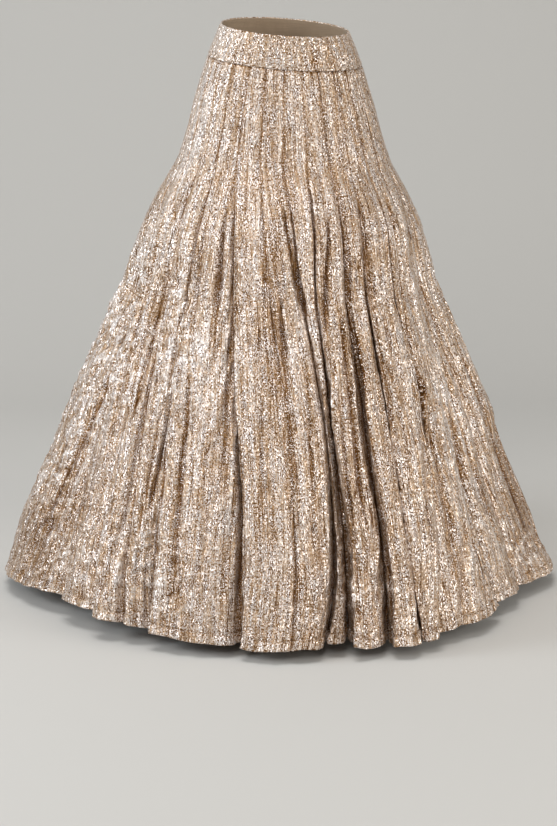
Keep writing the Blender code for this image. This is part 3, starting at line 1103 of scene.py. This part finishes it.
def make_tissue(name, bump_depth):
    """Metallic tissue in the tones of the table."""
    material, tree, shader = new_material(name)
    grain = new_node(tree, "ShaderNodeGroup", node_tree=FOIL_GRAIN)
    cut_map = new_node(tree, "ShaderNodeUVMap", uv_map="flat_cut")
    facing = tree.nodes.new("ShaderNodeNewGeometry").outputs["Normal"]
    relief = new_node(tree, "ShaderNodeAttribute", attribute_name="relief").outputs["Fac"]
    plug(tree, grain, {"Flat cut": cut_map.outputs[0], "Facing": facing, "Painted_light_and_shade": relief})
    ramp = tree.nodes.new("ShaderNodeValToRGB")
    stops = ramp.color_ramp.elements
    for index, (position, colour) in enumerate(TISSUE_TONES):
        stop = stops[index] if index < 2 else stops.new(position)
        stop.position = position
        stop.color = (*colour, 1.0)
    ground = plug(tree, ramp, {0: grain.outputs["Tone"]})
    grain_share = calc(tree, "MULTIPLY", grain.outputs["Grain"], GRAIN_SHARE)
    colour = blend(tree, ground, GRAIN_COLOUR, grain_share)
    colour = blend(tree, colour, FLECK_COLOUR, grain.outputs["Fleck"])
    tree.links.new(colour, shader.inputs["Base Color"])
    rough = calc(tree, "MULTIPLY_ADD", grain.outputs["Fleck"], FLECK_ROUGHNESS, TISSUE_ROUGHNESS)
    tree.links.new(rough, shader.inputs["Roughness"])
    bump = tree.nodes.new("ShaderNodeBump")
    plug(tree, bump, {"Strength": 1.0, "Distance": bump_depth,
                      "Height": grain.outputs["Height"], "Normal": grain.outputs["Tilted"]})
    tree.links.new(bump.outputs[0], shader.inputs["Normal"])
    shader.inputs["Metallic"].default_value = TISSUE_METAL
    shader.inputs["Specular IOR Level"].default_value = TISSUE_SPECULAR
    return material


def make_thread(name, colour):
    """Polyester thread: two plies twisted round each other, with a soft sheen."""
    material, tree, shader = new_material(name)
    place = tree.nodes.new("ShaderNodeTexCoord").outputs["Object"]
    plies = new_node(tree, "ShaderNodeTexWave", wave_type="BANDS", bands_direction="DIAGONAL")
    plug(tree, plies, {"Vector": place, "Scale": 420.0, "Distortion": 1.5})
    colour_ramp(tree, plies.outputs["Fac"], [0.55 * c for c in colour], colour)
    add_bump(tree, 0.6, 0.0002, plies.outputs["Fac"])
    shader.inputs["Roughness"].default_value = 0.55
    return material


def make_lining(name, colour):
    """Plain satin facing: a fine weave and a soft sheen, from the flat cut."""
    material, tree, shader = new_material(name)
    flat_cut = new_node(tree, "ShaderNodeUVMap", uv_map="flat_cut").outputs[0]
    weave = new_node(tree, "ShaderNodeTexWave", wave_type="BANDS", bands_direction="X")
    plug(tree, weave, {"Vector": flat_cut, "Scale": 260.0, "Distortion": 0.6, "Detail": 1.0})
    slub = new_node(tree, "ShaderNodeTexNoise")
    stretched = vector_calc(tree, "MULTIPLY", flat_cut, (30.0, 600.0, 1.0))
    plug(tree, slub, {"Vector": stretched, "Scale": 1.0, "Detail": 2.0})
    colour_ramp(tree, slub.outputs["Fac"], [0.80 * c for c in colour], [1.12 * c for c in colour])
    add_bump(tree, 0.3, 0.0001, weave.outputs["Fac"])
    shader.inputs["Roughness"].default_value = 0.42
    shader.inputs["Sheen Weight"].default_value = 0.25
    return material


def make_hook_steel(name):
    """Nickel-plated steel, brushed along the waist, with faint wear."""
    material, tree, shader = new_material(name)
    place = tree.nodes.new("ShaderNodeTexCoord").outputs["Object"]
    stretched = vector_calc(tree, "MULTIPLY", place, (900.0, 60.0, 900.0))
    lines = new_node(tree, "ShaderNodeTexNoise")
    plug(tree, lines, {"Vector": stretched, "Scale": 1.0, "Detail": 3.0})
    worn = new_node(tree, "ShaderNodeTexNoise")
    plug(tree, worn, {"Vector": place, "Scale": 220.0, "Detail": 4.0})
    colour_ramp(tree, worn.outputs["Fac"], (0.42, 0.40, 0.37), (0.78, 0.77, 0.74))
    rough = calc(tree, "MULTIPLY_ADD", lines.outputs["Fac"], 0.25, 0.20)
    tree.links.new(rough, shader.inputs["Roughness"])
    add_bump(tree, 0.4, 0.0001, lines.outputs["Fac"])
    shader.inputs["Metallic"].default_value = 1.0
    return material


def make_paper(name, colour):
    """Matt studio paper. Its back can be seen through, so a view from behind works."""
    material, tree, shader = new_material(name)
    behind = tree.nodes.new("ShaderNodeNewGeometry").outputs["Backfacing"]
    tree.links.new(calc(tree, "SUBTRACT", 1.0, behind), shader.inputs["Alpha"])
    shader.inputs["Base Color"].default_value = (*colour, 1.0)
    shader.inputs["Roughness"].default_value = 0.9
    return material


tissue = make_tissue("tissue", TISSUE_BUMP)
band_tissue = make_tissue("band_tissue", BAND_BUMP)
band_facing = make_lining("band_facing", (0.56, 0.42, 0.29))
for piece in kalis:
    piece.data.materials.append(tissue)
for piece in bands:
    piece.data.materials.append(band_tissue)
    piece.data.materials.append(band_facing)
thread = make_thread("thread", (0.62, 0.50, 0.38))
for piece in (band_stitches, hem_stitches):
    piece.data.materials.append(thread)
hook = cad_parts["waist_hook"]
hook.data.materials.clear()
hook.data.materials.append(make_hook_steel("hook_steel"))
sweep.data.materials.append(make_paper("studio_paper", (0.600, 0.595, 0.575)))
print("tissue tones:", len(TISSUE_TONES))

# %% Sizes and finish
depsgraph = bpy.context.evaluated_depsgraph_get()
total = 0
for thing in kalis + bands + [band_stitches, hem_stitches]:
    mesh = thing.evaluated_get(depsgraph).data
    count = sum(len(face.vertices) - 2 for face in mesh.polygons)
    total += count
print("triangles added:", total)
